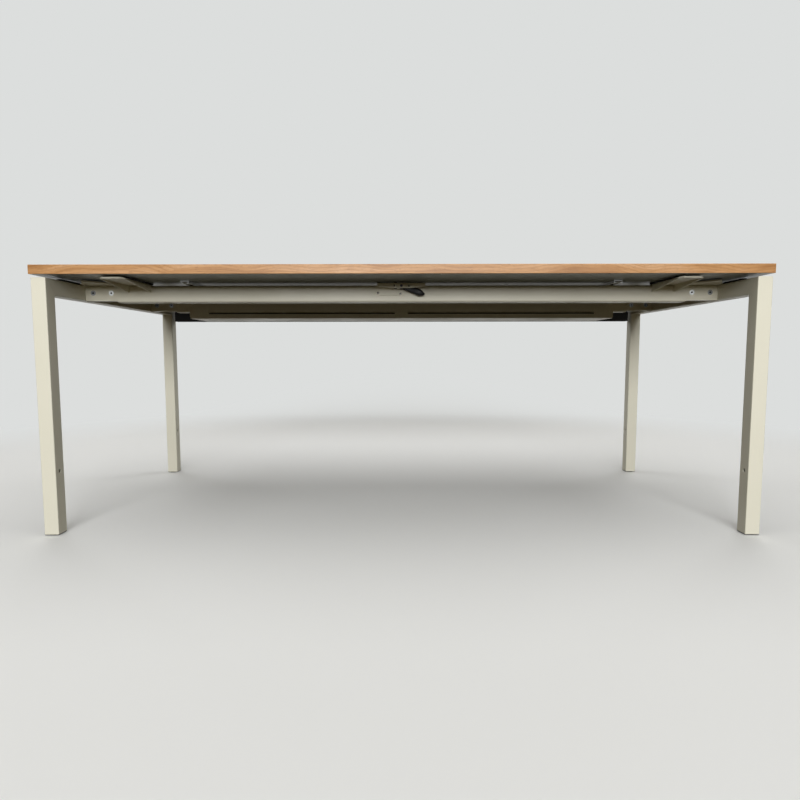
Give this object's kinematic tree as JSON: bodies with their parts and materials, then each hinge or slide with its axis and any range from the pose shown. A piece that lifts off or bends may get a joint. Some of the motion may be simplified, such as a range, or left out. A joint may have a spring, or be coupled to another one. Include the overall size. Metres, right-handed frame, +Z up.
{
  "type": "office desk",
  "caption": "Rectangular office desk with square-tube end frames, two cross beams, a locking sliding worktop, a rear cable tray with duct, and levelling feet",
  "frame": {"origin": "on the floor, under the middle of the desk's overall box", "axes": "+X to the sitter's right along the desk, -Y towards the sitter, +Z up"},
  "size_m": [2, 0.9, 0.745],
  "materials": {
    "cream_powder_coat": "smooth semi-matt cream powder coat",
    "black_powder_coat": "matt black powder coat",
    "wood_decor": "satin wood-grain laminate",
    "wood_edge_band": "satin wood-grain edge band",
    "chipboard": "pressed chipboard, hidden",
    "grey_backing_sheet": "smooth grey backing laminate",
    "drawn_aluminium": "mill-finish aluminium profile",
    "black_moulding": "fine-grained black plastic",
    "grey_moulding": "plain light grey plastic",
    "zinc_plated_steel": "bright zinc plating",
    "blackened_steel": "blackened and oiled steel",
    "lock_rubber": "matt rubber"
  },
  "bodies": {
    "frame": {"front_left_leg": "cream_powder_coat", "front_right_leg": "cream_powder_coat", "rear_left_leg": "cream_powder_coat", "rear_right_leg": "cream_powder_coat", "left_cross_rail": "cream_powder_coat", "right_cross_rail": "cream_powder_coat", "front_beam": "cream_powder_coat", "rear_beam": "cream_powder_coat", "front_left_tongue": "cream_powder_coat", "front_right_tongue": "cream_powder_coat", "rear_left_tongue": "cream_powder_coat", "rear_right_tongue": "cream_powder_coat", "front_left_support_arm": "cream_powder_coat", "front_right_support_arm": "cream_powder_coat", "rear_left_support_arm": "cream_powder_coat", "rear_right_support_arm": "cream_powder_coat", "front_left_corner_lug": "cream_powder_coat", "front_right_corner_lug": "cream_powder_coat", "rear_left_corner_lug": "cream_powder_coat", "rear_right_corner_lug": "cream_powder_coat", "lock_cover": "cream_powder_coat", "lock_plate": "cream_powder_coat", "cable_tray": "cream_powder_coat", "left_tray_hanger": "cream_powder_coat", "middle_tray_hanger": "cream_powder_coat", "right_tray_hanger": "cream_powder_coat", "leg_plugs": "black_moulding", "front_left_slide_block": "black_moulding", "front_right_slide_block": "black_moulding", "rear_left_slide_block": "black_moulding", "rear_right_slide_block": "black_moulding", "support_glides": "black_moulding", "rail_pads": "black_moulding", "lever_pin": "blackened_steel", "rear_cable_duct": "black_powder_coat"},
    "sliding_top": {"top_core": "chipboard", "top_laminate": "wood_decor", "top_backer": "grey_backing_sheet", "front_edge_band": "wood_edge_band", "rear_edge_band": "wood_edge_band", "left_edge_band": "wood_edge_band", "right_edge_band": "wood_edge_band", "left_slide_rail": "drawn_aluminium", "right_slide_rail": "drawn_aluminium", "slide_rail_stops": "grey_moulding"},
    "lever": {"lock_lever": "black_moulding"},
    "plunger": {"lock_plunger": "blackened_steel", "lock_pad": "lock_rubber"},
    "front_left_levelling_foot": {"front_left_foot": "black_moulding"},
    "front_right_levelling_foot": {"front_right_foot": "black_moulding"},
    "rear_left_levelling_foot": {"rear_left_foot": "black_moulding"},
    "rear_right_levelling_foot": {"rear_right_foot": "black_moulding"}
  },
  "joints": [
    {"name": "top_slide", "type": "slide", "parent": "frame", "child": "sliding_top", "axis": [0, -1, 0], "range_m": [0, 0.16]},
    {"name": "lever_lift", "type": "hinge", "parent": "frame", "child": "lever", "pos_m": [0, -0.267, 0.706], "axis": [0, -1, 0], "range_deg": [0, 10]},
    {"name": "plunger_drop", "type": "slide", "parent": "frame", "child": "plunger", "axis": [0, 0, -1], "range_m": [0, 0.003], "stiffness_N_per_m": 800, "springref_m": -0.005},
    {"name": "front_left_foot_height", "type": "slide", "parent": "frame", "child": "front_left_levelling_foot", "axis": [0, 0, -1], "range_m": [0, 0.015]},
    {"name": "front_right_foot_height", "type": "slide", "parent": "frame", "child": "front_right_levelling_foot", "axis": [0, 0, -1], "range_m": [0, 0.015]},
    {"name": "rear_left_foot_height", "type": "slide", "parent": "frame", "child": "rear_left_levelling_foot", "axis": [0, 0, -1], "range_m": [0, 0.015]},
    {"name": "rear_right_foot_height", "type": "slide", "parent": "frame", "child": "rear_right_levelling_foot", "axis": [0, 0, -1], "range_m": [0, 0.015]}
  ],
  "couplings": [
    {"joint": "lever_lift", "follows": "plunger_drop", "rad_per_m": 58.139}
  ]
}
